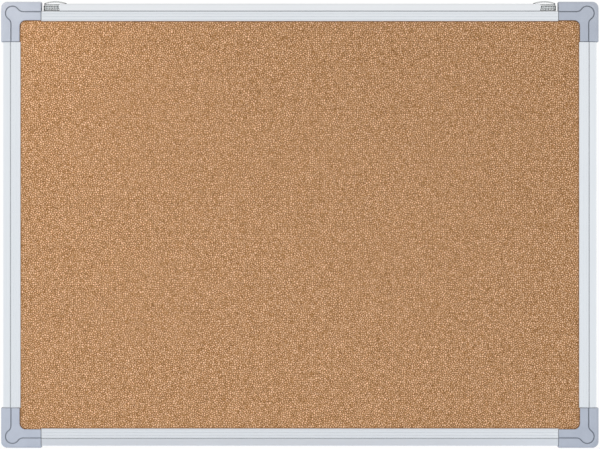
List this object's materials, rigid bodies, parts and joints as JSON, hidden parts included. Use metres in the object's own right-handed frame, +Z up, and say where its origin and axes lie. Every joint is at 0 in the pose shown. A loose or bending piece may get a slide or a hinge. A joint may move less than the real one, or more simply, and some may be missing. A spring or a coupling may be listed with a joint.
{
  "type": "cork pin board",
  "caption": "Framed cork pin board for a wall: cork panel in extruded aluminium rails with moulded corner caps and clear keyhole hangers that slide along the top rail.",
  "frame": {"origin": "middle of the board's outline over the corner caps, on the wall plane that the caps' backs touch", "axes": "+X to the viewer's right along the wide side, +Y into the wall, +Z up; the cork faces -Y"},
  "size_m": [0.6, 0.0174, 0.4494],
  "materials": {
    "cork": "matt pressed granules",
    "fibreboard": "soft pressed fibre",
    "galvanised_steel": "galvanised",
    "aluminium": "satin anodised",
    "cap_plastic": "fine moulded texture",
    "clear_plastic": "clear, polished",
    "zinc_plated_steel": "zinc plated"
  },
  "bodies": {
    "frame": {"cork_sheet": "cork", "core_board": "fibreboard", "back_sheet": "galvanised_steel", "top_rail": "aluminium", "bottom_rail": "aluminium", "left_rail": "aluminium", "right_rail": "aluminium", "corner_cap_top_left": "cap_plastic", "corner_cap_top_right": "cap_plastic", "corner_cap_bottom_left": "cap_plastic", "corner_cap_bottom_right": "cap_plastic", "screw_top_rail_left": "zinc_plated_steel", "screw_top_rail_right": "zinc_plated_steel", "screw_right_rail_top": "zinc_plated_steel", "screw_right_rail_bottom": "zinc_plated_steel", "screw_bottom_rail_left": "zinc_plated_steel", "screw_bottom_rail_right": "zinc_plated_steel", "screw_left_rail_top": "zinc_plated_steel", "screw_left_rail_bottom": "zinc_plated_steel"},
    "left_hanger": {"left_hanger": "clear_plastic"},
    "right_hanger": {"right_hanger": "clear_plastic"}
  },
  "joints": [
    {"name": "left_hanger_slide", "type": "slide", "parent": "frame", "child": "left_hanger", "axis": [1, 0, 0], "range_m": [-0.0022, 0.234]},
    {"name": "right_hanger_slide", "type": "slide", "parent": "frame", "child": "right_hanger", "axis": [1, 0, 0], "range_m": [-0.234, 0.0022]}
  ]
}
